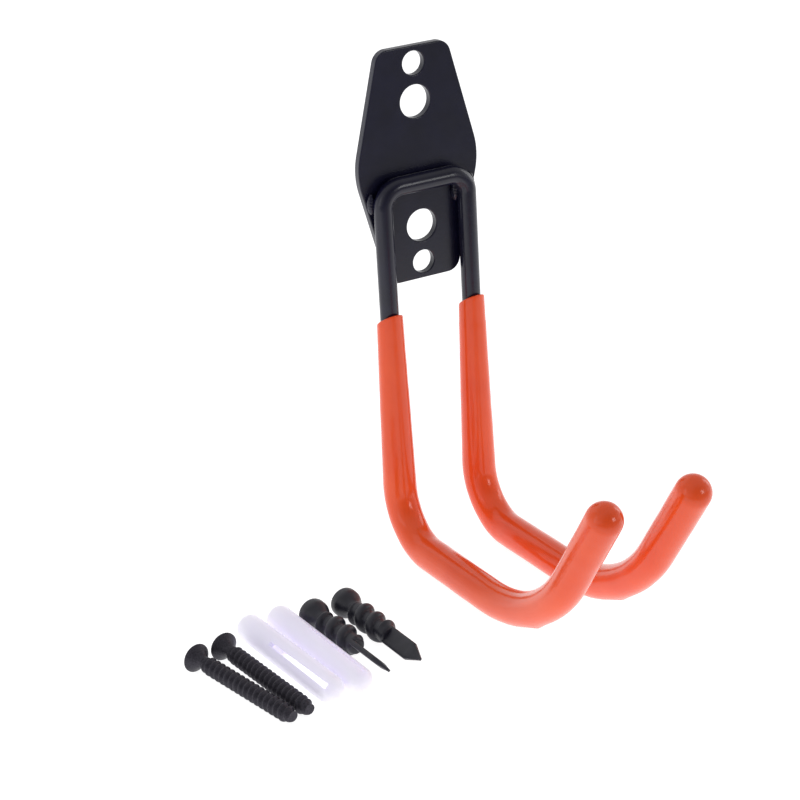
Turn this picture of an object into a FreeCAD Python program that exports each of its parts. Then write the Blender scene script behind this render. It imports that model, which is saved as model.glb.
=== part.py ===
import FreeCAD, Part
import os
import Sketcher

# Double-arm bicycle wall rack with its loose fixings.
# Frame: origin at the centre of the wall plate's back face, +Z up, +Y into the wall,
# so the arms reach out towards -Y and +X is to the right of someone facing the rack.
# All sizes are millimetres, all angles degrees.

DIMENSIONS = [
    # Wall plate: a flat six-sided barrel shape, widest at mid height.
    ("plate_height", 100.0),
    ("plate_end_width", 32.7),
    ("plate_mid_width", 58.2),
    ("plate_thickness", 3.3),
    ("plate_corner_radius", 6.0),
    ("plate_mid_radius", 32.0),
    ("plate_edge_break", 0.5),
    ("small_hole_diameter", 10.0),
    ("small_hole_spacing", 85.5),
    ("large_hole_diameter", 14.0),
    ("large_hole_spacing", 53.4),
    # Steel rod: a U across the plate, then two parallel J-shaped arms.
    ("rod_diameter", 8.0),
    ("arm_spacing", 39.8),
    ("yoke_drop", 6.2),
    ("yoke_corner_radius", 8.5),
    ("arm_drop", 139.9),
    ("lower_bend_radius", 23.8),
    ("lower_bend_turn", 92.3),
    ("seat_length", 47.7),
    ("upper_bend_radius", 81.6),
    ("upper_bend_turn", 53.8),
    ("tip_length", 41.6),
    ("rod_end_overrun", 2.0),
    ("rod_bore_lead", 10.0),
    # Dipped coat on each arm: thin at its top edge, thicker from the lower bend on. The arms
    # were dipped at an angle, so the top edge slants down towards the wall.
    ("coat_start_drop", 63.2),
    ("coat_start_slant", 34.0),
    ("coat_start_diameter", 11.2),
    ("coat_diameter", 14.6),
    # Weld beads on both sides of each arm, in the corner between rod and plate.
    ("weld_radius", 2.3),
    ("weld_outer_length", 9.0),
    ("weld_outer_drop", 12.5),
    ("weld_inner_length", 9.0),
    ("weld_inner_drop", 14.5),
    ("weld_bite", 0.2),
    ("weld_lift", 0.8),
    # Threads are rings that reach a little into their core.
    ("ridge_bite", 0.2),
    # Countersunk wood screws.
    ("screw_length", 60.0),
    ("screw_head_diameter", 12.0),
    ("screw_head_dome", 0.6),
    ("screw_rim_height", 0.8),
    ("screw_cone_height", 4.6),
    ("screw_neck_length", 1.2),
    ("screw_core_diameter", 5.2),
    ("screw_thread_diameter", 7.4),
    ("screw_pitch", 3.0),
    ("screw_thread_count", 17.0),
    ("screw_ridge_base", 2.5),
    ("screw_ridge_crest", 0.3),
    ("screw_tip_length", 4.0),
    ("screw_tip_diameter", 2.6),
    ("screw_recess_span", 6.4),
    ("screw_recess_width", 1.5),
    ("screw_recess_depth", 3.0),
    # Split plastic wall plugs.
    ("plug_length", 69.0),
    ("plug_diameter", 11.6),
    ("plug_head_round", 2.2),
    ("plug_nose_round", 5.4),
    ("plug_bore_diameter", 6.0),
    ("plug_bore_depth", 58.0),
    ("plug_slot_start", 24.5),
    ("plug_slot_length", 42.0),
    ("plug_slot_width", 2.0),
    # Self-drilling drywall anchors.
    ("anchor_head_diameter", 12.5),
    ("anchor_head_height", 10.5),
    ("anchor_head_dome", 2.4),
    ("anchor_core_diameter", 7.8),
    ("anchor_barrel_length", 34.8),
    ("anchor_thread_diameter", 11.4),
    ("anchor_pitch", 8.6),
    ("anchor_thread_count", 3.0),
    ("anchor_thread_start", 15.2),
    ("anchor_ridge_base", 4.6),
    ("anchor_ridge_crest", 1.6),
    ("anchor_nose_length", 2.2),
    ("anchor_nose_diameter", 5.6),
    ("anchor_length", 60.4),
    ("anchor_blade_width", 7.8),
    ("anchor_blade_thickness", 2.4),
    ("anchor_blade_root", 2.0),
    ("anchor_point_length", 8.0),
    ("anchor_point_width", 1.0),
    ("anchor_bore_diameter", 3.6),
    ("anchor_bore_depth", 26.0),
    ("anchor_recess_span", 7.0),
    ("anchor_recess_width", 1.6),
    ("anchor_recess_depth", 3.0),
    # The fixings lie in a row on the surface under the bends of the arms.
    ("surface_drop", 171.1),
    ("screw_1_x", -139.6),
    ("screw_1_y", -52.4),
    ("screw_1_turn", 13.8),
    ("screw_2_x", -126.6),
    ("screw_2_y", -50.3),
    ("screw_2_turn", 8.5),
    ("plug_1_x", -111.4),
    ("plug_1_y", -40.8),
    ("plug_1_turn", 5.1),
    ("plug_1_roll", -39.7),
    ("plug_2_x", -97.9),
    ("plug_2_y", -40.9),
    ("plug_2_turn", 3.8),
    ("plug_2_roll", 20.0),
    ("anchor_1_x", -84.5),
    ("anchor_1_y", -45.2),
    ("anchor_1_turn", 3.8),
    ("anchor_1_roll", 49.0),
    ("anchor_2_x", -69.3),
    ("anchor_2_y", -44.5),
    ("anchor_2_turn", 3.1),
    ("anchor_2_roll", -41.0),
    # A screw rests on its head rim and its thread, so its point dips towards the surface.
    ("screw_dip", 2.4),
    ("screw_axis_height", 6.05),
    ("plug_axis_height", 5.8),
    ("anchor_axis_height", 6.25),
]

document = FreeCAD.newDocument("bicycle_wall_rack")
sheet = document.addObject("Spreadsheet::Sheet", "dims")
for row, (alias, number) in enumerate(DIMENSIONS, start=1):
    sheet.set("A%d" % row, alias)
    sheet.set("B%d" % row, str(number))
    sheet.setAlias("B%d" % row, alias)
document.recompute()

START, END, CENTRE = 1, 2, 3
ORIGIN = -1
NODES = []


def value(expression):
    """Number that a spreadsheet expression gives, such as dims.rod_diameter / 2."""
    result = sheet.evalExpression(expression.replace("dims.", ""))
    return float(getattr(result, "Value", result))


def new_body(name):
    body = document.addObject("PartDesign::Body", name)
    body.Label = name
    NODES.append(body)
    return body


def place(item, x=None, y=None, z=None):
    for axis, expression in (("x", x), ("y", y), ("z", z)):
        if expression:
            item.setExpression("Placement.Base." + axis, expression)


def new_sketch(body, name, role, offset=None):
    """Sketch on one of the body's origin planes, moved along its normal by offset."""
    sketch = body.newObject("Sketcher::SketchObject", name)
    plane = [item for item in body.Origin.OriginFeatures if item.Role == role][0]
    sketch.AttachmentSupport = [(plane, "")]
    sketch.MapMode = "FlatFace"
    if offset:
        sketch.setExpression("AttachmentOffset.Base.z", offset)
    return sketch


def bind(sketch, constraint, expression):
    """Adds a dimension to the sketch and ties it to the spreadsheet."""
    index = sketch.addConstraint(constraint)
    sketch.setExpression("Constraints[%d]" % index, expression)


def hold_point(sketch, geometry, position, x, y):
    bind(sketch, Sketcher.Constraint("DistanceX", ORIGIN, 1, geometry, position, value(x)), x)
    bind(sketch, Sketcher.Constraint("DistanceY", ORIGIN, 1, geometry, position, value(y)), y)


def draw_polygon(sketch, points):
    """Closed outline through points, each an (x, y) pair of spreadsheet expressions."""
    corners = [FreeCAD.Vector(value(x), value(y), 0) for x, y in points]
    count = len(corners)
    for i in range(count):
        sketch.addGeometry(Part.LineSegment(corners[i], corners[(i + 1) % count]), False)
    for i in range(count):
        sketch.addConstraint(Sketcher.Constraint("Coincident", i, END, (i + 1) % count, START))
    for i, (x, y) in enumerate(points):
        hold_point(sketch, i, START, x, y)


def draw_circle(sketch, x, y, radius):
    centre = FreeCAD.Vector(value(x), value(y), 0)
    circle = Part.Circle(centre, FreeCAD.Vector(0, 0, 1), value(radius))
    index = sketch.addGeometry(circle, False)
    hold_point(sketch, index, CENTRE, x, y)
    bind(sketch, Sketcher.Constraint("Radius", index, value(radius)), radius)


def draw_rectangle(sketch, width, height, y="0"):
    """Rectangle centred on the sketch's vertical axis, its middle at height y."""
    half_x = "(%s) / 2" % width
    low = "(%s) - (%s) / 2" % (y, height)
    high = "(%s) + (%s) / 2" % (y, height)
    left = "-(%s)" % half_x
    draw_polygon(sketch, [(left, low), (half_x, low), (half_x, high), (left, high)])


def pad(body, name, sketch, length, symmetric=False):
    feature = body.newObject("PartDesign::Pad", name)
    feature.Profile = sketch
    feature.setExpression("Length", length)
    feature.Midplane = symmetric
    document.recompute()
    return feature


def pocket(body, name, sketch, length, symmetric=False, toward_normal=False):
    """Cuts the sketch into the body and makes sure that it removed material."""
    before = body.Shape.Volume
    feature = body.newObject("PartDesign::Pocket", name)
    feature.Profile = sketch
    feature.setExpression("Length", length)
    feature.Midplane = symmetric
    feature.Reversed = toward_normal
    document.recompute()
    if body.Shape.Volume > before - 0.1:
        raise RuntimeError(name + " removed nothing")
    return feature


def revolve(body, name, sketch):
    feature = body.newObject("PartDesign::Revolution", name)
    feature.Profile = sketch
    feature.ReferenceAxis = (sketch, ["V_Axis"])
    feature.Angle = 360.0
    document.recompute()
    return feature


def pipe(body, name, profile, spine, subtract=False):
    kind = "PartDesign::SubtractivePipe" if subtract else "PartDesign::AdditivePipe"
    feature = body.newObject(kind, name)
    feature.Profile = profile
    feature.Spine = spine
    document.recompute()


def round_edges(body, name, base, edges, radius):
    """Rounds the numbered edges of the base feature."""
    feature = body.newObject("PartDesign::Fillet", name)
    feature.Base = (base, ["Edge%d" % number for number in edges])
    feature.setExpression("Radius", radius)
    document.recompute()
    return feature


# Centre lines of the bent rod. The arms run down, and all their bends turn away from the wall.

ROD_DEPTH = "-(dims.plate_thickness + dims.rod_diameter / 2)"
ARM_X = "dims.arm_spacing / 2"


def draw_arm_path(sketch, tip_extra, straight_top=None):
    """J-shaped centre line in a Y-Z sketch: bend, seat, long bend, tip.

    tip_extra lengthens the tip. straight_top adds the vertical run above the lower bend,
    from that height down.
    """
    cos_turn = "cos(dims.lower_bend_turn * 1 deg)"
    sin_turn = "sin(dims.lower_bend_turn * 1 deg)"
    cos_tip = "cos((dims.lower_bend_turn + dims.upper_bend_turn) * 1 deg)"
    sin_tip = "sin((dims.lower_bend_turn + dims.upper_bend_turn) * 1 deg)"
    lower = ("-dims.lower_bend_radius", "-dims.arm_drop")
    seat_start = (
        "-dims.lower_bend_radius * (1 - %s)" % cos_turn,
        "-dims.arm_drop - dims.lower_bend_radius * %s" % sin_turn,
    )
    seat_end = (
        "%s - dims.seat_length * %s" % (seat_start[0], sin_turn),
        "%s - dims.seat_length * %s" % (seat_start[1], cos_turn),
    )
    upper = (
        "%s - dims.upper_bend_radius * %s" % (seat_end[0], cos_turn),
        "%s + dims.upper_bend_radius * %s" % (seat_end[1], sin_turn),
    )
    tip_start = (
        "%s + dims.upper_bend_radius * %s" % (upper[0], cos_tip),
        "%s - dims.upper_bend_radius * %s" % (upper[1], sin_tip),
    )
    tip_end = (
        "%s - (dims.tip_length + %s) * %s" % (tip_start[0], tip_extra, sin_tip),
        "%s - (dims.tip_length + %s) * %s" % (tip_start[1], tip_extra, cos_tip),
    )

    def point(pair):
        return FreeCAD.Vector(value(pair[0]), value(pair[1]), 0)

    def arc(centre, first, last, radius):
        circle = Part.Circle(point(centre), FreeCAD.Vector(0, 0, 1), value(radius))
        return Part.ArcOfCircle(circle, circle.parameter(point(first)), circle.parameter(point(last)))

    pieces = []
    if straight_top:
        pieces.append(Part.LineSegment(point(("0", straight_top)), point(("0", "-dims.arm_drop"))))
    pieces.append(arc(lower, seat_start, ("0", "-dims.arm_drop"), "dims.lower_bend_radius"))
    pieces.append(Part.LineSegment(point(seat_start), point(seat_end)))
    pieces.append(arc(upper, tip_start, seat_end, "dims.upper_bend_radius"))
    pieces.append(Part.LineSegment(point(tip_start), point(tip_end)))
    for piece in pieces:
        sketch.addGeometry(piece, False)
    bend = len(pieces) - 4
    seat, sweep, tip = bend + 1, bend + 2, bend + 3
    if straight_top:
        sketch.addConstraint(Sketcher.Constraint("Coincident", 0, END, bend, END))
        hold_point(sketch, 0, START, "0", straight_top)
    hold_point(sketch, bend, END, "0", "-dims.arm_drop")
    bind(sketch, Sketcher.Constraint("Radius", bend, value("dims.lower_bend_radius")),
         "dims.lower_bend_radius")
    sketch.addConstraint(Sketcher.Constraint("Coincident", bend, START, seat, START))
    hold_point(sketch, seat, START, seat_start[0], seat_start[1])
    sketch.addConstraint(Sketcher.Constraint("Coincident", seat, END, sweep, END))
    hold_point(sketch, seat, END, seat_end[0], seat_end[1])
    sketch.addConstraint(Sketcher.Constraint("Coincident", sweep, START, tip, START))
    hold_point(sketch, tip, START, tip_start[0], tip_start[1])
    bind(sketch, Sketcher.Constraint("Radius", sweep, value("dims.upper_bend_radius")),
         "dims.upper_bend_radius")
    hold_point(sketch, tip, END, tip_end[0], tip_end[1])
    return tip_end


def draw_yoke_path(sketch):
    """Upside-down U in an X-Z sketch: left arm, rounded corner, bar, rounded corner, right arm."""
    radius = value("dims.yoke_corner_radius")
    half = value(ARM_X)
    top = -value("dims.yoke_drop")
    low = -value("dims.arm_drop")
    shoulder = top - radius
    inner = half - radius
    up = FreeCAD.Vector(0, 0, 1)

    def point(x, y):
        return FreeCAD.Vector(x, y, 0)

    def quarter(centre_x, first, last):
        circle = Part.Circle(point(centre_x, shoulder), up, radius)
        return Part.ArcOfCircle(circle, circle.parameter(first), circle.parameter(last))

    sketch.addGeometry(Part.LineSegment(point(-half, low), point(-half, shoulder)), False)
    sketch.addGeometry(quarter(-inner, point(-inner, top), point(-half, shoulder)), False)
    sketch.addGeometry(Part.LineSegment(point(-inner, top), point(inner, top)), False)
    sketch.addGeometry(quarter(inner, point(half, shoulder), point(inner, top)), False)
    sketch.addGeometry(Part.LineSegment(point(half, shoulder), point(half, low)), False)
    joins = [(0, END, 1, END), (1, START, 2, START), (2, END, 3, END), (3, START, 4, START)]
    for first, first_end, second, second_end in joins:
        sketch.addConstraint(Sketcher.Constraint("Coincident", first, first_end, second, second_end))
    shoulder_height = "-dims.yoke_drop - dims.yoke_corner_radius"
    inner_x = ARM_X + " - dims.yoke_corner_radius"
    hold_point(sketch, 0, START, "-" + ARM_X, "-dims.arm_drop")
    hold_point(sketch, 0, END, "-" + ARM_X, shoulder_height)
    hold_point(sketch, 2, START, "-(%s)" % inner_x, "-dims.yoke_drop")
    hold_point(sketch, 2, END, inner_x, "-dims.yoke_drop")
    hold_point(sketch, 4, START, ARM_X, shoulder_height)
    hold_point(sketch, 4, END, ARM_X, "-dims.arm_drop")
    for arc in (1, 3):
        bind(sketch, Sketcher.Constraint("Radius", arc, radius), "dims.yoke_corner_radius")


# The rack itself.


def build_wall_plate():
    """Barrel-shaped plate: six-sided outline, rounded corners, four holes on the centre line."""
    body = new_body("wall_plate")
    outline = new_sketch(body, "plate_outline", "XZ_Plane")
    end_x = "dims.plate_end_width / 2"
    mid_x = "dims.plate_mid_width / 2"
    top = "dims.plate_height / 2"
    draw_polygon(outline, [
        ("-" + end_x, "-" + top),
        (end_x, "-" + top),
        (mid_x, "0"),
        (end_x, top),
        ("-" + end_x, top),
        ("-" + mid_x, "0"),
    ])
    document.recompute()
    slab = pad(body, "plate_slab", outline, "dims.plate_thickness")

    def upright_edges(feature, at_mid_height):
        numbers = []
        for number, edge in enumerate(feature.Shape.Edges, start=1):
            first, last = edge.Vertexes[0].Point, edge.Vertexes[-1].Point
            along_y = abs(first.y - last.y) > 1.0 and abs(first.z - last.z) < 0.01
            if along_y and (abs(first.z) < 1.0) == at_mid_height:
                numbers.append(number)
        return numbers

    corners = round_edges(body, "plate_corners", slab, upright_edges(slab, False),
                          "dims.plate_corner_radius")
    round_edges(body, "plate_waist", corners, upright_edges(corners, True), "dims.plate_mid_radius")

    for name, diameter, spacing in (
        ("small_holes", "dims.small_hole_diameter", "dims.small_hole_spacing"),
        ("large_holes", "dims.large_hole_diameter", "dims.large_hole_spacing"),
    ):
        holes = new_sketch(body, name + "_sketch", "XZ_Plane")
        for sign in ("", "-"):
            draw_circle(holes, "0", "%s%s / 2" % (sign, spacing), diameter + " / 2")
        document.recompute()
        drilled = pocket(body, name, holes, "2 * dims.plate_thickness", symmetric=True)

    front = -value("dims.plate_thickness")
    rim = [
        number
        for number, edge in enumerate(drilled.Shape.Edges, start=1)
        if max(abs(vertex.Point.y - front) for vertex in edge.Vertexes) < 0.01
    ]
    round_edges(body, "plate_rolled_edge", drilled, rim, "dims.plate_edge_break")


def build_hook_rod():
    """One bent rod. It lies flat on the plate's front face."""
    body = new_body("hook_rod")
    place(body, y=ROD_DEPTH)
    yoke = new_sketch(body, "yoke_path", "XZ_Plane")
    draw_yoke_path(yoke)
    section = new_sketch(body, "yoke_section", "XY_Plane", "-dims.arm_drop")
    draw_circle(section, "-" + ARM_X, "0", "dims.rod_diameter / 2")
    document.recompute()
    pipe(body, "yoke", section, yoke)
    for side, sign in (("left", "-"), ("right", "")):
        path = new_sketch(body, side + "_arm_path", "YZ_Plane", sign + ARM_X)
        draw_arm_path(path, "dims.rod_end_overrun")
        section = new_sketch(body, side + "_arm_section", "XY_Plane", "-dims.arm_drop")
        draw_circle(section, sign + ARM_X, "0", "dims.rod_diameter / 2")
        document.recompute()
        pipe(body, side + "_arm", section, path)
    return body


def build_coat(side, sign):
    """Dipped coat: a slightly tapered sleeve, then a thicker bent sleeve with a domed end."""
    body = new_body("coat_" + side)
    place(body, x=sign + ARM_X, y=ROD_DEPTH)
    slant_rise = "dims.coat_start_diameter / 2 * tan(dims.coat_start_slant * 1 deg)"
    sleeve_top = "-dims.coat_start_drop + " + slant_rise
    taper = new_sketch(body, side + "_taper", "YZ_Plane")
    draw_polygon(taper, [
        ("0", sleeve_top),
        ("dims.coat_start_diameter / 2", sleeve_top),
        ("dims.coat_diameter / 2", "-dims.arm_drop"),
        ("0", "-dims.arm_drop"),
    ])
    document.recompute()
    revolve(body, side + "_straight_coat", taper)
    wedge = new_sketch(body, side + "_slanted_top", "YZ_Plane")
    draw_polygon(wedge, [
        ("-dims.coat_start_diameter", "-dims.coat_start_drop + 2 * (%s)" % slant_rise),
        ("dims.coat_start_diameter", "-dims.coat_start_drop - 2 * (%s)" % slant_rise),
        ("dims.coat_start_diameter", "-dims.coat_start_drop + 3 * (%s)" % slant_rise),
        ("-dims.coat_start_diameter", "-dims.coat_start_drop + 3 * (%s)" % slant_rise),
    ])
    document.recompute()
    pocket(body, side + "_slant_cut", wedge, "dims.coat_diameter * 2", symmetric=True)

    path = new_sketch(body, side + "_coat_path", "YZ_Plane")
    tip_end = draw_arm_path(path, "0")
    section = new_sketch(body, side + "_coat_section", "XY_Plane", "-dims.arm_drop")
    draw_circle(section, "0", "0", "dims.coat_diameter / 2")
    document.recompute()
    pipe(body, side + "_bent_coat", section, path)

    dome = body.newObject("PartDesign::AdditiveSphere", side + "_dome")
    dome.setExpression("Radius", "dims.coat_diameter / 2")
    dome.setExpression("Placement.Base.y", tip_end[0])
    dome.setExpression("Placement.Base.z", tip_end[1])
    document.recompute()

    before = body.Shape.Volume
    core_top = "-dims.coat_start_drop + dims.rod_bore_lead"
    core = new_sketch(body, side + "_core_path", "YZ_Plane")
    draw_arm_path(core, "dims.rod_end_overrun", core_top)
    section = new_sketch(body, side + "_core_section", "XY_Plane", core_top)
    draw_circle(section, "0", "0", "dims.rod_diameter / 2")
    document.recompute()
    pipe(body, side + "_core", section, core, subtract=True)
    if body.Shape.Volume > 0.8 * before:
        raise RuntimeError("the rod's way through coat_%s is missing" % side)


def build_weld(arm, arm_sign, side, rod):
    """Round-ended bead in the corner beside an arm, cut back to the plate and the rod.

    side is outer or inner, the side of the arm on which the bead lies.
    """
    name = "weld_%s_%s" % (arm, side)
    straight = "(dims.weld_%s_length / 2 - dims.weld_radius)" % side
    outward = 1 if side == "outer" else -1
    x = "%s(%s + %d * (dims.rod_diameter / 2 - dims.weld_bite))" % (arm_sign, ARM_X, outward)
    y = "-dims.plate_thickness - dims.weld_lift"
    z = "-dims.weld_%s_drop" % side
    barrel = document.addObject("Part::Cylinder", name + "_barrel")
    barrel.setExpression("Radius", "dims.weld_radius")
    barrel.setExpression("Height", "2 * " + straight)
    place(barrel, x, y, "%s - %s" % (z, straight))
    bead_parts = [barrel]
    for end, sign in (("top", "+"), ("bottom", "-")):
        ball = document.addObject("Part::Sphere", "%s_%s" % (name, end))
        ball.setExpression("Radius", "dims.weld_radius")
        place(ball, x, y, "%s %s %s" % (z, sign, straight))
        bead_parts.append(ball)
    bead = document.addObject("Part::MultiFuse", name + "_bead")
    bead.Shapes = bead_parts
    wall = document.addObject("Part::Box", name + "_plate_side")
    wall.setExpression("Length", "dims.plate_mid_width")
    wall.setExpression("Height", "dims.plate_height")
    wall.setExpression("Width", "dims.plate_thickness * 2")
    place(wall, x="-dims.plate_mid_width / 2", y="-dims.plate_thickness", z="-dims.plate_height / 2")
    above_plate = document.addObject("Part::Cut", name + "_above_plate")
    above_plate.Base = bead
    above_plate.Tool = wall
    weld = document.addObject("Part::Cut", name)
    weld.Base = above_plate
    weld.Tool = rod
    weld.Label = name
    document.recompute()
    NODES.append(weld)


# The fixings. Each is drawn with the middle of its head face at its own origin and its
# point towards -Y, then turned and set down on the surface.


def lay_down(body, name, axis_height, dip=None, roll=None):
    """Sets a fixing on the surface: turned on it, then dipped, then rolled about its own axis."""
    place(body, "dims.%s_x" % name, "dims.%s_y" % name, "-dims.surface_drop + " + axis_height)
    turn = FreeCAD.Rotation(FreeCAD.Vector(0, 0, 1), value("dims.%s_turn" % name))
    if dip:
        turn = turn * FreeCAD.Rotation(FreeCAD.Vector(1, 0, 0), value(dip))
    if roll:
        turn = turn * FreeCAD.Rotation(FreeCAD.Vector(0, 1, 0), value(roll))
    body.Placement = FreeCAD.Placement(body.Placement.Base, turn)


def thread_ridges(body, kind, name, start):
    """Thread of the screw or anchor: one ridge turned around the core, repeated every pitch."""
    sketch = new_sketch(body, name + "_ridge_sketch", "XY_Plane")
    sunk = "dims.%s_core_diameter / 2 - dims.ridge_bite" % kind
    crest = "dims.%s_thread_diameter / 2" % kind
    half_base = "dims.%s_ridge_base / 2" % kind
    half_crest = "dims.%s_ridge_crest / 2" % kind
    draw_polygon(sketch, [
        (sunk, "-(%s) + %s" % (start, half_base)),
        (crest, "-(%s) + %s" % (start, half_crest)),
        (crest, "-(%s) - %s" % (start, half_crest)),
        (sunk, "-(%s) - %s" % (start, half_base)),
    ])
    document.recompute()
    ridge = revolve(body, name + "_ridge", sketch)
    pattern = body.newObject("PartDesign::LinearPattern", name + "_ridges")
    pattern.Originals = [ridge]
    pattern.Direction = (sketch, ["V_Axis"])
    pattern.Reversed = True
    pattern.setExpression("Length", "dims.%s_pitch * (dims.%s_thread_count - 1)" % (kind, kind))
    pattern.setExpression("Occurrences", "dims.%s_thread_count" % kind)
    body.Tip = pattern
    document.recompute()


def cross_recess(body, kind, name):
    """Cross-shaped driver recess in the head face of the screw or anchor."""
    span = "dims.%s_recess_span" % kind
    width = "dims.%s_recess_width" % kind
    depth = "dims.%s_recess_depth" % kind
    for part, size_x, size_z in (("bar", span, width), ("post", width, span)):
        sketch = new_sketch(body, "%s_recess_%s_sketch" % (name, part), "XZ_Plane")
        draw_rectangle(sketch, size_x, size_z)
        document.recompute()
        pocket(body, "%s_recess_%s" % (name, part), sketch, depth, toward_normal=True)


def build_screw(number):
    name = "screw_%d" % number
    body = new_body("wood_screw_%d" % number)
    profile = new_sketch(body, name + "_profile", "XY_Plane")
    head = "dims.screw_head_diameter / 2"
    core = "dims.screw_core_diameter / 2"
    rim = "-dims.screw_rim_height"
    cone = rim + " - dims.screw_cone_height"
    shank_end = "-(dims.screw_length - dims.screw_tip_length)"
    draw_polygon(profile, [
        ("0", "0"),
        (head + " - dims.screw_head_dome", "0"),
        (head, rim),
        (core, cone),
        (core, shank_end),
        ("dims.screw_tip_diameter / 2", "-dims.screw_length"),
        ("0", "-dims.screw_length"),
    ])
    document.recompute()
    revolve(body, name + "_shank", profile)
    first_ridge = "dims.screw_rim_height + dims.screw_cone_height + dims.screw_neck_length"
    thread_ridges(body, "screw", name, first_ridge)
    cross_recess(body, "screw", name)
    lay_down(body, name, "dims.screw_axis_height", dip="dims.screw_dip")


def build_plug(number):
    """Hollow plug with rounded ends, a bore for the screw and a long slot right through it."""
    name = "plug_%d" % number
    body = new_body("wall_plug_%d" % number)
    profile = new_sketch(body, name + "_profile", "XY_Plane")
    radius = "dims.plug_diameter / 2"
    draw_polygon(profile, [
        ("0", "0"),
        (radius, "0"),
        (radius, "-dims.plug_length"),
        ("0", "-dims.plug_length"),
    ])
    document.recompute()
    barrel = revolve(body, name + "_barrel", profile)
    for end, height, rounding in (
        ("head", 0.0, "dims.plug_head_round"),
        ("nose", -value("dims.plug_length"), "dims.plug_nose_round"),
    ):
        rims = [
            rim
            for rim, edge in enumerate(barrel.Shape.Edges, start=1)
            if edge.BoundBox.YLength < 0.01 and abs(edge.BoundBox.YMin - height) < 0.01
        ]
        barrel = round_edges(body, "%s_%s" % (name, end), barrel, rims, rounding)
    bore = new_sketch(body, name + "_bore_sketch", "XZ_Plane")
    draw_circle(bore, "0", "0", "dims.plug_bore_diameter / 2")
    document.recompute()
    pocket(body, name + "_bore", bore, "dims.plug_bore_depth", toward_normal=True)
    slot = new_sketch(body, name + "_slot_sketch", "XY_Plane")
    middle = "-(dims.plug_slot_start + dims.plug_slot_length / 2)"
    draw_rectangle(slot, "dims.plug_slot_width", "dims.plug_slot_length", middle)
    document.recompute()
    pocket(body, name + "_slot", slot, "dims.plug_diameter * 2", symmetric=True)
    lay_down(body, name, "dims.plug_axis_height", roll="dims.%s_roll" % name)


def build_anchor(number):
    """Threaded anchor: domed head, coarse thread, flat pointed drill blade."""
    name = "anchor_%d" % number
    body = new_body("drywall_anchor_%d" % number)
    profile = new_sketch(body, name + "_profile", "XY_Plane")
    head = "dims.anchor_head_diameter / 2"
    core = "dims.anchor_core_diameter / 2"
    nose = "dims.anchor_nose_diameter / 2"
    draw_polygon(profile, [
        ("0", "0"),
        (head + " - dims.anchor_head_dome / 2", "0"),
        (head, "-dims.anchor_head_dome / 2"),
        (head, "-dims.anchor_head_dome * 3 / 2"),
        (core, "-dims.anchor_head_height"),
        (core, "-dims.anchor_barrel_length"),
        (nose, "-dims.anchor_barrel_length - dims.anchor_nose_length"),
        ("0", "-dims.anchor_barrel_length - dims.anchor_nose_length"),
    ])
    document.recompute()
    revolve(body, name + "_barrel", profile)
    thread_ridges(body, "anchor", name, "dims.anchor_thread_start")
    blade = new_sketch(body, name + "_blade_sketch", "XY_Plane")
    half = "dims.anchor_blade_width / 2"
    half_point = "dims.anchor_point_width / 2"
    root = "-(dims.anchor_barrel_length - dims.anchor_blade_root)"
    shoulder = "-(dims.anchor_length - dims.anchor_point_length)"
    draw_polygon(blade, [
        ("-" + half, root),
        ("-" + half, shoulder),
        ("-" + half_point, "-dims.anchor_length"),
        (half_point, "-dims.anchor_length"),
        (half, shoulder),
        (half, root),
    ])
    document.recompute()
    pad(body, name + "_blade", blade, "dims.anchor_blade_thickness", symmetric=True)
    bore = new_sketch(body, name + "_bore_sketch", "XZ_Plane")
    draw_circle(bore, "0", "0", "dims.anchor_bore_diameter / 2")
    document.recompute()
    pocket(body, name + "_bore", bore, "dims.anchor_bore_depth", toward_normal=True)
    cross_recess(body, "anchor", name)
    lay_down(body, name, "dims.anchor_axis_height", roll="dims.%s_roll" % name)


build_wall_plate()
rod = build_hook_rod()
build_coat("left", "-")
build_coat("right", "")
for weld_arm, weld_sign in (("left", "-"), ("right", "")):
    for weld_side in ("outer", "inner"):
        build_weld(weld_arm, weld_sign, weld_side, rod)
for pair_number in (1, 2):
    build_screw(pair_number)
    build_plug(pair_number)
    build_anchor(pair_number)
document.recompute()

for item in document.Objects:
    if "Invalid" in item.State or "Error" in item.State:
        raise RuntimeError("%s did not compute: %s" % (item.Label, item.State))
os.makedirs("parts", exist_ok=True)
for item in NODES:
    shape = item.Shape
    if shape.isNull() or not shape.isValid() or not shape.Solids:
        raise RuntimeError(item.Label + " is not a valid solid")
    shape.exportStep(os.path.join("parts", item.Label + ".step"))
    box = shape.BoundBox
    print("%-20s solids %d volume %9.1f  x %.1f..%.1f  y %.1f..%.1f  z %.1f..%.1f" % (
        item.Label, len(shape.Solids), shape.Volume,
        box.XMin, box.XMax, box.YMin, box.YMax, box.ZMin, box.ZMax))
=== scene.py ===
import math

import bmesh
import bpy
from mathutils import Matrix, Quaternion, Vector, noise


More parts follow.
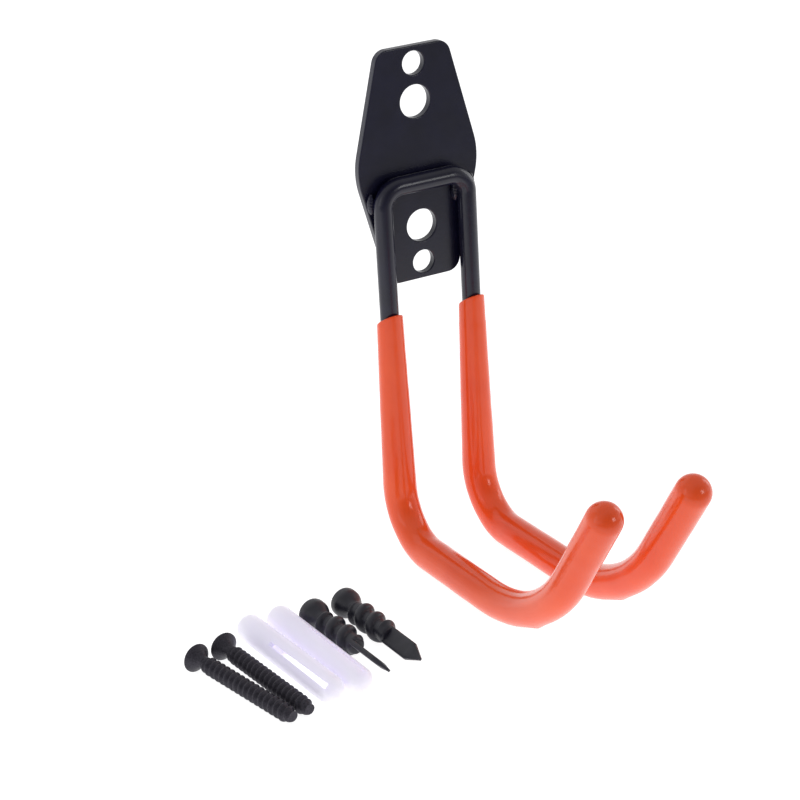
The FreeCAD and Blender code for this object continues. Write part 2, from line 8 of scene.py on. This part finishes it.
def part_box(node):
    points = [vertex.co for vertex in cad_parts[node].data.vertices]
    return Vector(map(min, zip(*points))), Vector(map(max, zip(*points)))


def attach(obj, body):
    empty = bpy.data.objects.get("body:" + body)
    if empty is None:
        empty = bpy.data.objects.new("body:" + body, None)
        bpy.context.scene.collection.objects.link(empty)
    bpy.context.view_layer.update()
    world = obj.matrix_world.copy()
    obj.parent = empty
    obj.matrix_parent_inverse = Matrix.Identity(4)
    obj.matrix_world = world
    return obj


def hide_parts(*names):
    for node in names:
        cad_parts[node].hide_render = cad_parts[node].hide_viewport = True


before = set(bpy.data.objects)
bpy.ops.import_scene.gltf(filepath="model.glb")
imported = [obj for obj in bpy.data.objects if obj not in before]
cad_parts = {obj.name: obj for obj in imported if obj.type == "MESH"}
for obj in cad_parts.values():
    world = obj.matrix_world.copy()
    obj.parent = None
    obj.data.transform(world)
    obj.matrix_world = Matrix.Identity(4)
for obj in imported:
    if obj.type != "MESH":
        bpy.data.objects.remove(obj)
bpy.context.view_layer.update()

MM = 0.001
RACK = "rack"

# Driving sizes of the bent rod, its coats and welds. Where they lie is read from the frame.
LOWER_BEND = 23.8 * MM
LOWER_TURN = math.radians(92.3)
SEAT = 47.7 * MM
UPPER_BEND = 81.6 * MM
UPPER_TURN = math.radians(53.8)
TIP = 41.6 * MM
ROD_RADIUS = 4.0 * MM
YOKE_BEND = 8.5 * MM
ROD_OVERRUN = 2.0 * MM
COAT_TOP_RADIUS = 5.6 * MM
COAT_SLANT = math.radians(34.0)
WELD_RADIUS = 1.8 * MM


# ---------------------------------------------------------------- materials


class Nodes:
    """A material with a Principled shader and short ways to add nodes to it."""

    def __init__(self, name):
        self.material = bpy.data.materials.new(name)
        self.material.use_nodes = True
        self.tree = self.material.node_tree
        self.shader = self.tree.nodes["Principled BSDF"]
        self.place = self.tree.nodes.new("ShaderNodeTexCoord").outputs["Object"]

    def set(self, **values):
        for name, value in values.items():
            self.shader.inputs[name.replace("_", " ")].default_value = value

    def noise(self, scale, detail=3.0, roughness=0.5):
        """Noise with about scale lumps to the metre."""
        node = self.tree.nodes.new("ShaderNodeTexNoise")
        node.inputs["Scale"].default_value = scale
        node.inputs["Detail"].default_value = detail
        node.inputs["Roughness"].default_value = roughness
        self.tree.links.new(self.place, node.inputs["Vector"])
        return node.outputs["Fac"]

    def mottle(self, factor, dark, light, low=0.30, high=0.72):
        """Base colour that drifts between two close shades, from factor low to factor high."""
        node = self.tree.nodes.new("ShaderNodeValToRGB")
        stops = zip(node.color_ramp.elements, (low, high), (dark, light))
        for element, position, colour in stops:
            element.position = position
            element.color = (*colour, 1.0)
        self.tree.links.new(factor, node.inputs["Fac"])
        self.into(node.outputs["Color"], "Base Color")

    def sheen(self, factor, low, high):
        """Roughness that varies between two values over the surface."""
        node = self.tree.nodes.new("ShaderNodeMapRange")
        node.inputs["To Min"].default_value = low
        node.inputs["To Max"].default_value = high
        self.tree.links.new(factor, node.inputs["Value"])
        self.into(node.outputs["Result"], "Roughness")

    def bump(self, height, distance, strength, under=None):
        """Normals of a relief, laid over the normals given as under."""
        node = self.tree.nodes.new("ShaderNodeBump")
        node.inputs["Distance"].default_value = distance
        node.inputs["Strength"].default_value = strength
        self.tree.links.new(height, node.inputs["Height"])
        if under:
            self.tree.links.new(under, node.inputs["Normal"])
        return node.outputs["Normal"]

    def into(self, output, socket):
        self.tree.links.new(output, self.shader.inputs[socket])


def powder_coat():
    """Near-black semi-gloss powder coat with fine orange peel."""
    m = Nodes("black_powder_coat")
    m.set(Specular_IOR_Level=0.5, Metallic=0.0)
    m.mottle(m.noise(90.0, 4.0), (0.004, 0.004, 0.017), (0.007, 0.007, 0.027), 0.35, 0.68)
    m.sheen(m.noise(240.0, 2.0), 0.20, 0.30)
    peel = m.bump(m.noise(700.0, 1.5, 0.45), 0.00005, 0.45)
    m.into(m.bump(m.noise(2600.0, 2.0, 0.6), 0.00002, 0.4, peel), "Normal")
    return m.material


def orange_vinyl():
    """Glossy dipped vinyl: deep orange and faintly uneven."""
    m = Nodes("orange_vinyl")
    m.set(Specular_IOR_Level=0.35, Coat_Weight=0.20, Coat_Roughness=0.06)
    m.mottle(m.noise(38.0, 3.0, 0.55), (0.880, 0.082, 0.015), (0.950, 0.103, 0.020), high=0.70)
    m.sheen(m.noise(160.0), 0.17, 0.25)
    m.into(m.bump(m.noise(420.0, 2.0, 0.5), 0.00004, 0.35), "Normal")
    return m.material


def black_screw_metal():
    """Phosphated steel: black, a little oily, mottled at sub-millimetre scale."""
    m = Nodes("black_screw")
    m.set(Metallic=0.35, Specular_IOR_Level=0.5)
    m.mottle(m.noise(1400.0, 4.0, 0.6), (0.012, 0.011, 0.019), (0.048, 0.043, 0.060))
    m.sheen(m.noise(900.0), 0.40, 0.60)
    m.into(m.bump(m.noise(2200.0, 3.0, 0.6), 0.00005, 0.6), "Normal")
    return m.material


def milky_plastic():
    """Milky polyethylene: soft sheen, faint cloudiness, and a painted glow (emission) that stands in
    for light shining through its walls.
    """
    m = Nodes("milky_plastic")
    # The emission below is a painted glow, standing in for light that passes through the milky
    # walls.
    m.set(Specular_IOR_Level=0.45, Subsurface_Weight=0.8, Subsurface_Scale=0.012,
          Subsurface_Radius=(1.0, 0.95, 1.0), IOR=1.5, Emission_Color=(0.70, 0.64, 1.0, 1.0),
          Emission_Strength=0.15)
    m.mottle(m.noise(180.0), (0.935, 0.905, 0.985), (0.975, 0.950, 1.0))
    m.sheen(m.noise(500.0, 2.0), 0.30, 0.42)
    m.into(m.bump(m.noise(900.0, 2.0), 0.00004, 0.35), "Normal")
    return m.material


def black_nylon():
    """Moulded black nylon with a satin skin."""
    m = Nodes("black_nylon")
    m.set(Specular_IOR_Level=0.5)
    m.mottle(m.noise(300.0), (0.009, 0.009, 0.018), (0.018, 0.017, 0.029))
    m.sheen(m.noise(600.0), 0.36, 0.50)
    m.into(m.bump(m.noise(1300.0), 0.00005, 0.5), "Normal")
    return m.material


MATERIALS = {
    "black_powder_coat": powder_coat(),
    "orange_vinyl": orange_vinyl(),
    "black_screw": black_screw_metal(),
    "milky_plastic": milky_plastic(),
    "black_nylon": black_nylon(),
}


# ---------------------------------------------------------------- mesh helpers


def add_piece(name, mesh, slot, body, node):
    """Puts a finished mesh in the scene as the piece that stands for that CAD node."""
    mesh.name = name
    mesh.materials.clear()
    mesh.materials.append(MATERIALS[slot])
    piece = bpy.data.objects.new(name, mesh)
    bpy.context.scene.collection.objects.link(piece)
    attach(piece, body)
    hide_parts(node)


def grid_mesh(rings, cap_start=True, smooth=True):
    """Skin over rings with the same number of points, closed at its end and, if asked, its start."""
    count = len(rings[0])
    points = [point for ring in rings for point in ring]
    faces = []
    for i in range(len(rings) - 1):
        for j in range(count):
            k = (j + 1) % count
            faces.append((i * count + j, i * count + k, (i + 1) * count + k, (i + 1) * count + j))
    if cap_start:
        faces.append(tuple(reversed(range(count))))
    last = (len(rings) - 1) * count
    faces.append(tuple(range(last, last + count)))
    mesh = bpy.data.meshes.new("skin")
    mesh.from_pydata(points, [], faces)
    tidy = bmesh.new()
    tidy.from_mesh(mesh)
    bmesh.ops.recalc_face_normals(tidy, faces=tidy.faces)
    tidy.to_mesh(mesh)
    tidy.free()
    mesh.polygons.foreach_set("use_smooth", [smooth] * len(mesh.polygons))
    return mesh


def sharpen(mesh, angle):
    """Smooth shading, with edges steeper than the angle kept sharp."""
    mesh.polygons.foreach_set("use_smooth", [True] * len(mesh.polygons))
    mesh.set_sharp_from_angle(angle=math.radians(angle))


def boolean(mesh, other, operation):
    """Exact boolean of the two meshes."""
    target = bpy.data.objects.new("target", mesh)
    tool = bpy.data.objects.new("tool", other)
    for item in (target, tool):
        bpy.context.scene.collection.objects.link(item)
    modifier = target.modifiers.new("boolean", "BOOLEAN")
    modifier.operation = operation
    modifier.solver = "EXACT"
    modifier.object = tool
    bpy.context.view_layer.update()
    graph = bpy.context.evaluated_depsgraph_get()
    result = bpy.data.meshes.new_from_object(target.evaluated_get(graph))
    for item in (target, tool):
        bpy.data.objects.remove(item)
    return result


def cut_away(mesh, cutter):
    return boolean(mesh, cutter, "DIFFERENCE")


def combine(mesh, other):
    return boolean(mesh, other, "UNION")


# ---------------------------------------------------------------- rod and coats


class Route:
    """Centre line of straight runs and arcs, walked in small steps."""

    def __init__(self, start, heading):
        self.point = Vector(start)
        self.heading = Vector(heading).normalized()
        self.points = [self.point.copy()]
        self.headings = [self.heading.copy()]

    def add(self):
        self.points.append(self.point.copy())
        self.headings.append(self.heading.copy())

    def run(self, length, step=1.5 * MM):
        count = max(1, round(length / step))
        for _ in range(count):
            self.point = self.point + self.heading * (length / count)
            self.add()
        return self

    def bend(self, radius, turn, axis, step=math.radians(2.5)):
        """Turns about axis by the right-hand rule."""
        axis = Vector(axis).normalized()
        count = max(2, round(abs(turn) / step))
        inward = axis.cross(self.heading) * (1 if turn > 0 else -1)
        centre = self.point + inward * radius
        arm = self.point - centre
        heading = self.heading.copy()
        for i in range(1, count + 1):
            spin = Quaternion(axis, turn * i / count)
            self.point = centre + spin @ arm
            self.heading = spin @ heading
            self.add()
        return self

    def turn_back(self):
        """Reverses the route, so that it goes on from its start."""
        self.points.reverse()
        self.headings = [-heading for heading in reversed(self.headings)]
        self.point = self.points[-1].copy()
        self.heading = self.headings[-1].copy()


def sides_along(route):
    """A sideways direction at each point, carried along without twist from +X."""
    side = Vector((1, 0, 0))
    sides = []
    for heading in route.headings:
        side = (side - heading * side.dot(heading)).normalized()
        sides.append(side.copy())
    return sides


def follow_arm(route, overrun=0.0):
    """Takes a route that heads down above an arm round its bends and up to the dome's middle."""
    route.run(route.point.z - BEND_Z)
    route.bend(LOWER_BEND, -LOWER_TURN, (1, 0, 0))
    route.run(SEAT)
    route.bend(UPPER_BEND, -UPPER_TURN, (1, 0, 0))
    route.run(TIP + overrun)
    return route


rod_low, rod_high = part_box("hook_rod")
coat_low, coat_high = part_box("coat_left")
plate_low, plate_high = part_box("wall_plate")
ARM_X = rod_high.x - ROD_RADIUS
ROD_Y = plate_low.y - ROD_RADIUS
YOKE_Z = rod_high.z - ROD_RADIUS
COAT_AXIS_TOP_Z = coat_high.z - COAT_TOP_RADIUS * math.tan(COAT_SLANT)
COAT_RADIUS = (coat_high.x - coat_low.x) / 2
# The lower bend starts one bend radius above the lowest point of the arm's centre line.
BEND_Z = coat_low.z + COAT_RADIUS + LOWER_BEND


def build_rod():
    """The whole bent rod, from one hidden end inside a coat to the other."""
    route = Route((-ARM_X, ROD_Y, YOKE_Z - YOKE_BEND), (0, 0, -1))
    follow_arm(route, ROD_OVERRUN).turn_back()
    route.bend(YOKE_BEND, math.pi / 2, (0, 1, 0))
    route.run(2 * (ARM_X - YOKE_BEND))
    route.bend(YOKE_BEND, math.pi / 2, (0, 1, 0))
    follow_arm(route, ROD_OVERRUN)
    sides = sides_along(route)
    count = 64
    rings = []
    for point, heading, side in zip(route.points, route.headings, sides):
        across = heading.cross(side)
        rings.append([
            point + (side * math.cos(a) + across * math.sin(a)) * ROD_RADIUS
            for a in (2 * math.pi * j / count for j in range(count))
        ])
    add_piece("hook_rod_bar", grid_mesh(rings), "black_powder_coat", RACK, "hook_rod")


def build_coat(side_name, sign):
    """Dipped coat: slanted top edge with a rounded lip, slow ripples, a drip and a domed end."""
    route = follow_arm(Route((sign * ARM_X, ROD_Y, COAT_AXIS_TOP_Z), (0, 0, -1)))
    sides = sides_along(route)
    straight = COAT_AXIS_TOP_Z - BEND_Z
    seed = Vector((3.1, 7.7, 1.9)) * (1 if sign < 0 else 2)
    segments = 72
    angles = [2 * math.pi * j / segments for j in range(segments)]

    def radius_at(travelled):
        """The coat thickens down the straight sleeve and keeps that radius from the bend on."""
        grown = min(1.0, travelled / straight)
        return COAT_TOP_RADIUS + (COAT_RADIUS - COAT_TOP_RADIUS) * grown

    def spot(point, heading, side, radius, angle, travelled):
        """Point of the skin; only the outer surface is uneven and carries the drip."""
        outward = side * math.cos(angle) + heading.cross(side) * math.sin(angle)
        place = point + outward * radius
        if radius < COAT_TOP_RADIUS - 0.1 * MM:
            return place
        swell = noise.noise(place * 62.0 + seed) * 0.10 * MM
        swell += noise.noise(Vector((travelled * 160.0, angle * 0.4, 5.0)) + seed) * 0.06 * MM
        return place + outward * (swell + drip(place, sign))

    def slanted(depth, radius):
        """Ring at that depth under the slanted top edge, round the straight rod."""
        ring = []
        for angle in angles:
            place = spot(route.points[0], route.headings[0], sides[0], radius, angle, 0.0)
            level = COAT_AXIS_TOP_Z - (place.y - ROD_Y) * math.tan(COAT_SLANT)
            ring.append(Vector((place.x, place.y, level - depth)))
        return ring

    lip = 0.75 * MM
    gap = 0.10 * MM
    rings = [slanted(1.2 * MM, ROD_RADIUS + gap), slanted(0.25 * MM, ROD_RADIUS + 2 * gap)]
    rings.append(slanted(0.0, ROD_RADIUS + 5 * gap))
    for i in range(1, 9):
        a = math.pi / 2 * i / 8
        radius = COAT_TOP_RADIUS - lip + lip * math.sin(a)
        rings.append(slanted(lip * (1 - math.cos(a)), radius))
    # The slanted rings level out over the first stretch of the sleeve.
    level_out = 9.0 * MM
    for i in range(1, 9):
        share = i / 8
        tilted = slanted(lip + level_out * share, radius_at(level_out * share))
        middle = COAT_AXIS_TOP_Z - lip - level_out * share
        rings.append([
            Vector((place.x, place.y, place.z + (middle - place.z) * share)) for place in tilted
        ])
    travelled = 0.0
    for i in range(1, len(route.points)):
        travelled += (route.points[i] - route.points[i - 1]).length
        if travelled < lip + level_out + 0.5 * MM:
            continue
        place, heading, side = route.points[i], route.headings[i], sides[i]
        radius = radius_at(travelled)
        rings.append([spot(place, heading, side, radius, angle, travelled) for angle in angles])
    end, heading, side = route.points[-1], route.headings[-1], sides[-1]
    steps = 18
    for i in range(1, steps):
        a = math.pi / 2 * i / steps
        beyond = COAT_RADIUS * math.sin(a)
        place, radius = end + heading * beyond, COAT_RADIUS * math.cos(a)
        rings.append([
            spot(place, heading, side, radius, angle, travelled + beyond) for angle in angles
        ])
    mesh = grid_mesh(rings, cap_start=False)
    sharpen(mesh, 60.0)
    add_piece("coat_%s_skin" % side_name, mesh, "orange_vinyl", RACK, "coat_" + side_name)


def drip(place, sign):
    """Extra thickness of the small frozen drip on the outer underside of the long bend."""
    centre = Vector((sign * (ARM_X + 0.5 * MM), ROD_Y - 113.0 * MM, coat_low.z + 11.0 * MM))
    height, width = 0.9 * MM, 3.4 * MM
    return height * math.exp(-(((place - centre).length / width) ** 2))


def coat_plate():
    """The plate keeps its CAD mesh and only takes the powder coat."""
    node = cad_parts["wall_plate"]
    node.data.materials.clear()
    node.data.materials.append(MATERIALS["black_powder_coat"])


def build_weld(arm_name, arm_sign, side_name, outward):
    """Rippled bead in the corner between an arm and the plate."""
    node = "weld_%s_%s" % (arm_name, side_name)
    low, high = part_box(node)
    from_arm, from_plate = 3.8 * MM, 0.8 * MM
    x = arm_sign * (ARM_X + outward * from_arm)
    y = plate_low.y - from_plate
    length = high.z - low.z
    ripple_step = 1.25 * MM
    steps, segments = 72, 28
    rings = []
    for i in range(1, steps):
        share = i / steps
        z = high.z - length * share
        fullness = math.sqrt(math.sin(math.pi * share))
        ring = []
        for j in range(segments):
            angle = 2 * math.pi * j / segments
            wave = math.sin(2 * math.pi * (z / ripple_step + 0.35 * math.cos(angle)))
            lumps = noise.noise(Vector((x, angle * 0.5, z)) * 420.0)
            radius = WELD_RADIUS * fullness * (1 + 0.025 * wave + 0.14 * lumps)
            ring.append(Vector((x + radius * math.cos(angle), y + radius * math.sin(angle), z)))
        rings.append(ring)
    mesh = grid_mesh(rings)
    add_piece(node + "_bead", mesh, "black_powder_coat", RACK, node)


# ---------------------------------------------------------------- fixings

# Each fixing is made with the middle of its head face at the origin and its point towards
# -Y, then set where its CAD node lies. Angles: turn on the surface, dip, roll.
ATTITUDES = {
    "wood_screw_1": (13.8, 2.4, 0.0),
    "wood_screw_2": (8.5, 2.4, 0.0),
    "wall_plug_1": (5.1, 0.0, -39.7),
    "wall_plug_2": (3.8, 0.0, 20.0),
    "drywall_anchor_1": (3.8, 0.0, 49.0),
    "drywall_anchor_2": (3.1, 0.0, -41.0),
}


def set_down(mesh, node):
    """Turns the mesh as its CAD node is turned and moves it there."""
    turn, dip, roll = (math.radians(angle) for angle in ATTITUDES[node])
    spin = Matrix.Rotation(turn, 3, "Z")
    spin = spin @ Matrix.Rotation(dip, 3, "X") @ Matrix.Rotation(roll, 3, "Y")
    back = spin.transposed()
    local = [back @ vertex.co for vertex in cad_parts[node].data.vertices]
    xs, ys, zs = zip(*local)
    head = Vector(((min(xs) + max(xs)) / 2, max(ys), (min(zs) + max(zs)) / 2))
    mesh.transform(Matrix.Translation(spin @ head) @ spin.to_4x4())


def turned(profile, segments, relief):
    """Rings about the Y axis through (radius, depth) pairs, raised by relief(angle, depth)."""
    rings = []
    for radius, depth in profile:
        ring = []
        for j in range(segments):
            angle = 2 * math.pi * j / segments
            grown = radius + relief(angle, depth)
            ring.append(Vector((grown * math.cos(angle), -depth, grown * math.sin(angle))))
        rings.append(ring)
    return rings


def smooth_step(x, low, high):
    share = min(1.0, max(0.0, (x - low) / (high - low)))
    return share * share * (3 - 2 * share)


def cross_cutter(span, width, depth):
    """Tapered cross for a driver recess in a head face at the origin."""
    half, bar = span / 2, width / 2
    outline = [(half, -bar), (half, bar), (bar, bar), (bar, half), (-bar, half), (-bar, bar),
               (-half, bar), (-half, -bar), (-bar, -bar), (-bar, -half), (bar, -half), (bar, -bar)]
    rings = []
    for y, scale in ((0.6 * MM, 1.06), (-depth, 0.5)):
        rings.append([Vector((x * scale, y, z * scale)) for x, z in outline])
    return grid_mesh(rings, smooth=False)


def block_cutter(start_width, end_width, start_depth, end_depth, height):
    """Slot cutter through the Y axis: width along X changes from one depth to the other."""
    rings = []
    for depth, width in ((start_depth, start_width), (end_depth, end_width)):
        half, tall = width / 2, height / 2
        rings.append([Vector((x, -depth, z)) for x, z in
                      ((half, -tall), (half, tall), (-half, tall), (-half, -tall))])
    return grid_mesh(rings, smooth=False)


def build_screw(node):
    """Countersunk wood screw with a real helical thread and a cross recess."""
    head, core, crest, point = 6.0 * MM, 2.6 * MM, 3.7 * MM, 1.9 * MM
    pitch = 3.0 * MM
    length, tip = 60.0 * MM, 4.0 * MM
    rim, cone_end = 0.8 * MM, 5.4 * MM
    thread_start = cone_end + 0.6 * MM

    def thread(angle, depth):
        if depth < thread_start:
            return 0.0
        phase = depth / pitch - angle / (2 * math.pi)
        ridge = (0.5 + 0.5 * math.cos(2 * math.pi * phase)) ** 0.8
        fade = smooth_step(depth, thread_start, thread_start + pitch)
        fade *= 1.0 - 0.45 * smooth_step(depth, length - tip, length)
        return (crest - core) * ridge * fade

    profile = [
        (0.2 * MM, 0.0),
        (head * 0.5, 0.0),
        (head - 0.6 * MM, 0.0),
        (head - 0.25 * MM, 0.12 * MM),
        (head, 0.45 * MM),
        (head, rim),
    ]
    for i in range(1, 7):
        share = i / 6
        hollow = 0.35 * MM * math.sin(math.pi * share)
        radius = head + (core - head) * share - hollow
        profile.append((radius, rim + (cone_end - rim) * share))
    steps = round((length - thread_start) / (pitch / 14))
    for i in range(steps + 1):
        depth = thread_start + (length - thread_start) * i / steps
        taper = smooth_step(depth, length - tip, length)
        profile.append((core - (core - point) * taper, depth))
    mesh = grid_mesh(turned(profile, 56, thread))
    mesh = cut_away(mesh, cross_cutter(6.4 * MM, 1.5 * MM, 3.0 * MM))
    sharpen(mesh, 62.0)
    set_down(mesh, node)
    add_piece(node + "_detail", mesh, "black_screw", node, node)


def build_plug(node):
    """Hollow plug: rounded head rim, bore, bullet nose and a see-through slot."""
    outer, bore = 5.8 * MM, 3.0 * MM
    length, bore_depth = 69.0 * MM, 58.0 * MM
    head_round, nose = 2.2 * MM, 5.4 * MM
    profile = [(0.15 * MM, bore_depth + 1.2 * MM), (bore * 0.7, bore_depth + 0.6 * MM)]
    for i in range(41):
        profile.append((bore, bore_depth + (0.8 * MM - bore_depth) * i / 40))
    profile.append((bore + 0.3 * MM, 0.2 * MM))
    profile.append((bore + 0.7 * MM, 0.0))
    for i in range(9):
        a = math.pi / 2 * i / 8
        radius = outer - head_round + head_round * math.sin(a)
        profile.append((radius, head_round * (1 - math.cos(a))))
    for i in range(1, 61):
        profile.append((outer, head_round + (length - nose - head_round) * i / 60))
    for i in range(1, 15):
        a = math.pi / 2 * i / 15
        profile.append((outer - nose + nose * math.cos(a), length - nose + nose * math.sin(a)))

    def faint_ribs(angle, depth):
        return 0.05 * MM * math.cos(8 * angle) * smooth_step(depth, 16 * MM, 22 * MM)

    mesh = grid_mesh(turned(profile, 64, faint_ribs))
    slot = block_cutter(1.5 * MM, 2.5 * MM, 24.5 * MM, 66.5 * MM, 20.0 * MM)
    mesh = cut_away(mesh, slot)
    sharpen(mesh, 40.0)
    set_down(mesh, node)
    add_piece(node + "_detail", mesh, "milky_plastic", node, node)


def build_anchor(node):
    """Drywall anchor: big head, coarse rounded helix, flat pointed drill blade."""
    head, core, crest = 6.25 * MM, 3.9 * MM, 5.7 * MM
    pitch, first_crest, half_ridge = 8.6 * MM, 16.6 * MM, 2.5 * MM
    thread_start, thread_end = 11.6 * MM, 34.4 * MM
    rim, neck, barrel, nose = 3.8 * MM, 10.5 * MM, 34.8 * MM, 2.2 * MM

    def thread(angle, depth):
        phase = ((depth - first_crest) / pitch - angle / (2 * math.pi) + 0.5) % 1.0 - 0.5
        ridge = max(0.0, 1.0 - (abs(phase) * pitch / half_ridge) ** 2)
        fade = smooth_step(depth, thread_start - 1.0 * MM, thread_start + 2.0 * MM)
        fade *= 1.0 - smooth_step(depth, thread_end - 2.0 * MM, thread_end + 1.0 * MM)
        return (crest - core) * math.sqrt(ridge) * fade

    profile = [
        (0.2 * MM, 0.0),
        (head * 0.6, 0.0),
        (head - 1.5 * MM, 0.05 * MM),
        (head - 0.7 * MM, 0.35 * MM),
        (head - 0.2 * MM, 0.9 * MM),
        (head, 1.6 * MM),
        (head, rim),
    ]
    for i in range(1, 9):
        share = i / 8
        radius = head + (core - head) * smooth_step(share, 0.0, 1.0)
        profile.append((radius, rim + (neck - rim) * share))
    for i in range(1, 101):
        profile.append((core, neck + (barrel - neck) * i / 100))
    for i in range(1, 6):
        a = math.pi / 2 * i / 5
        profile.append((core - 1.3 * MM * (1 - math.cos(a)), barrel + nose * math.sin(a)))
    body = grid_mesh(turned(profile, 56, thread))

    half_width, half_thick, half_point = 3.9 * MM, 1.2 * MM, 0.5 * MM
    length, point = 60.4 * MM, 8.0 * MM
    root = barrel - 4.0 * MM
    segments = 24

    def squared(share):
        """Pulls a sine or cosine out towards -1 or 1, which makes a round section nearly square."""
        return math.copysign(abs(share) ** 0.35, share)

    rings = []
    for i in range(61):
        depth = root + (length - root) * i / 60
        near_point = max(0.0, (depth - (length - point)) / point)
        width = half_width - (half_width - half_point) * near_point
        thick = half_thick * (1 - 0.55 * smooth_step(near_point, 0.0, 1.0))
        ring = []
        for j in range(segments):
            angle = 2 * math.pi * j / segments
            x, z = width * squared(math.cos(angle)), thick * squared(math.sin(angle))
            ring.append(Vector((x, -depth, z)))
        rings.append(ring)
    blade = grid_mesh(rings)
    mesh = combine(body, blade)
    mesh = cut_away(mesh, cross_cutter(7.0 * MM, 1.6 * MM, 3.0 * MM))
    sharpen(mesh, 40.0)
    set_down(mesh, node)
    add_piece(node + "_detail", mesh, "black_nylon", node, node)


# ---------------------------------------------------------------- lighting and camera


def build_floor():
    """Pale floor that glows white round the rack and fades out in front of it."""
    mesh = bpy.data.meshes.new("floor")
    half = 3.0
    z = coat_low.z - 0.3 * MM
    mesh.from_pydata([(-half, -half, z), (half, -half, z), (half, half, z), (-half, half, z)], [],
                     [(0, 1, 2, 3)])
    floor = bpy.data.objects.new("floor", mesh)
    bpy.context.scene.collection.objects.link(floor)
    material = bpy.data.materials.new("pale_floor")
    material.use_nodes = True
    tree = material.node_tree
    shader = tree.nodes["Principled BSDF"]
    shader.inputs["Base Color"].default_value = (0.42, 0.42, 0.43, 1.0)
    shader.inputs["Roughness"].default_value = 0.9
    shader.inputs["Specular IOR Level"].default_value = 0.1
    shader.inputs["Emission Color"].default_value = (1.0, 1.0, 1.0, 1.0)
    place = tree.nodes.new("ShaderNodeTexCoord")
    split = tree.nodes.new("ShaderNodeSeparateXYZ")
    fade = tree.nodes.new("ShaderNodeMapRange")
    fade.interpolation_type = "SMOOTHSTEP"
    fade.inputs["From Min"].default_value = -0.46
    fade.inputs["From Max"].default_value = -0.24
    fade.inputs["To Min"].default_value = 0.0
    fade.inputs["To Max"].default_value = 0.92
    tree.links.new(place.outputs["Object"], split.inputs["Vector"])
    tree.links.new(split.outputs["Y"], fade.inputs["Value"])
    tree.links.new(fade.outputs["Result"], shader.inputs["Emission Strength"])
    mesh.materials.append(material)


def area_light(name, target, direction, distance, size, power):
    """White rectangular lamp that faces the target from that direction."""
    light = bpy.data.lights.new(name, "AREA")
    light.shape = "RECTANGLE"
    light.size, light.size_y = size
    light.energy = power
    lamp = bpy.data.objects.new(name, light)
    bpy.context.scene.collection.objects.link(lamp)
    lamp.location = Vector(target) + Vector(direction).normalized() * distance
    lamp.rotation_euler = Vector(direction).to_track_quat("Z", "Y").to_euler()


def build_lights():
    middle = (0.0, -0.08, -0.06)
    area_light("back_softbox", middle, (-0.3, 1.0, 1.0), 1.2, (1.2, 0.8), 1.0)
    area_light("left_softbox", middle, (-1.0, -0.1, 0.35), 1.1, (0.3, 0.6), 0.4)
    area_light("right_softbox", middle, (1.0, 0.1, 0.30), 1.1, (0.3, 0.6), 1.0)
    area_light("front_lamp", middle, (0.42, -0.86, 0.25), 1.2, (0.34, 0.34), 1.7)


def build_world():
    """Bright all round, a little dimmer overhead and clearly dimmer in front of the rack."""
    world = bpy.data.worlds.new("studio")
    bpy.context.scene.world = world
    world.use_nodes = True
    tree = world.node_tree
    background = tree.nodes["Background"]
    place = tree.nodes.new("ShaderNodeTexCoord")
    split = tree.nodes.new("ShaderNodeSeparateXYZ")
    tree.links.new(place.outputs["Generated"], split.inputs["Vector"])

    def share(axis, start, end, low, high):
        """Strength that goes from low to high as that direction axis goes from start to end."""
        node = tree.nodes.new("ShaderNodeMapRange")
        node.interpolation_type = "SMOOTHSTEP"
        limits = {"From Min": start, "From Max": end, "To Min": low, "To Max": high}
        for name, value in limits.items():
            node.inputs[name].default_value = value
        tree.links.new(split.outputs[axis], node.inputs["Value"])
        return node.outputs["Result"]

    both = tree.nodes.new("ShaderNodeMath")
    both.operation = "MULTIPLY"
    tree.links.new(share("Z", 0.05, 0.55, 1.0, 0.60), both.inputs[0])
    tree.links.new(share("Y", -0.95, -0.25, 0.22, 1.0), both.inputs[1])
    tree.links.new(both.outputs["Value"], background.inputs["Strength"])
    background.inputs["Color"].default_value = (1.0, 1.0, 1.0, 1.0)


def build_camera():
    """Looks down and across at the rack from its left, a little rolled."""
    azimuth = math.radians(-27.55)
    elevation = math.radians(23.53)
    roll = math.radians(-3.42)
    aim = Vector((-28.8, -29.2, -90.0)) * MM
    distance = 903.6 * MM
    back = Vector((
        math.sin(azimuth) * math.cos(elevation),
        -math.cos(azimuth) * math.cos(elevation),
        math.sin(elevation),
    ))
    level = (-back).cross(Vector((0, 0, 1))).normalized()
    up = level.cross(-back)
    right = level * math.cos(roll) + up * math.sin(roll)
    top = up * math.cos(roll) - level * math.sin(roll)
    data = bpy.data.cameras.new("camera")
    data.lens = 98.0
    data.sensor_width = 36.0
    camera = bpy.data.objects.new("camera", data)
    bpy.context.scene.collection.objects.link(camera)
    turn = Matrix((right, top, back)).transposed().to_4x4()
    camera.matrix_world = Matrix.Translation(aim + back * distance) @ turn
    bpy.context.scene.camera = camera


build_rod()
build_coat("left", -1)
build_coat("right", 1)
coat_plate()
for arm_name, arm_sign in (("left", -1), ("right", 1)):
    for side_name, outward in (("outer", 1), ("inner", -1)):
        build_weld(arm_name, arm_sign, side_name, outward)
for pair_number in (1, 2):
    build_screw("wood_screw_%d" % pair_number)
    build_plug("wall_plug_%d" % pair_number)
    build_anchor("drywall_anchor_%d" % pair_number)
build_floor()
build_lights()
build_world()
build_camera()
bpy.context.scene.view_settings.view_transform = "Standard"
